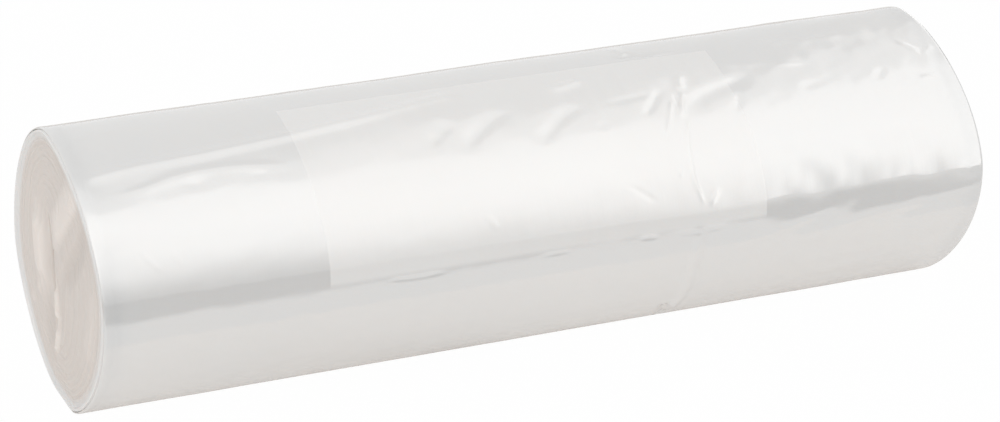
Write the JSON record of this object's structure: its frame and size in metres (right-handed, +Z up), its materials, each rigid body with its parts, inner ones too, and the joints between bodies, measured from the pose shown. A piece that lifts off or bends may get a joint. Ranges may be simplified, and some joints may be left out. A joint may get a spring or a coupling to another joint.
{
  "type": "roll of freezer bags",
  "caption": "Coreless roll of clear film freezer bags lying on its side, with a rounded lozenge section, a pale write-on panel over its front, a slit core and a small flat to rest on.",
  "frame": {"origin": "on the floor, under the middle of the roll's box", "axes": "+X along the roll, away from the end where the last turn stands proud; +Z up; the front with the panel faces -Y"},
  "size_m": [0.2, 0.0686, 0.0599],
  "materials": {
    "film": "glossy, slightly hazy"
  },
  "bodies": {
    "root": {"bag_roll": "film"}
  },
  "joints": []
}
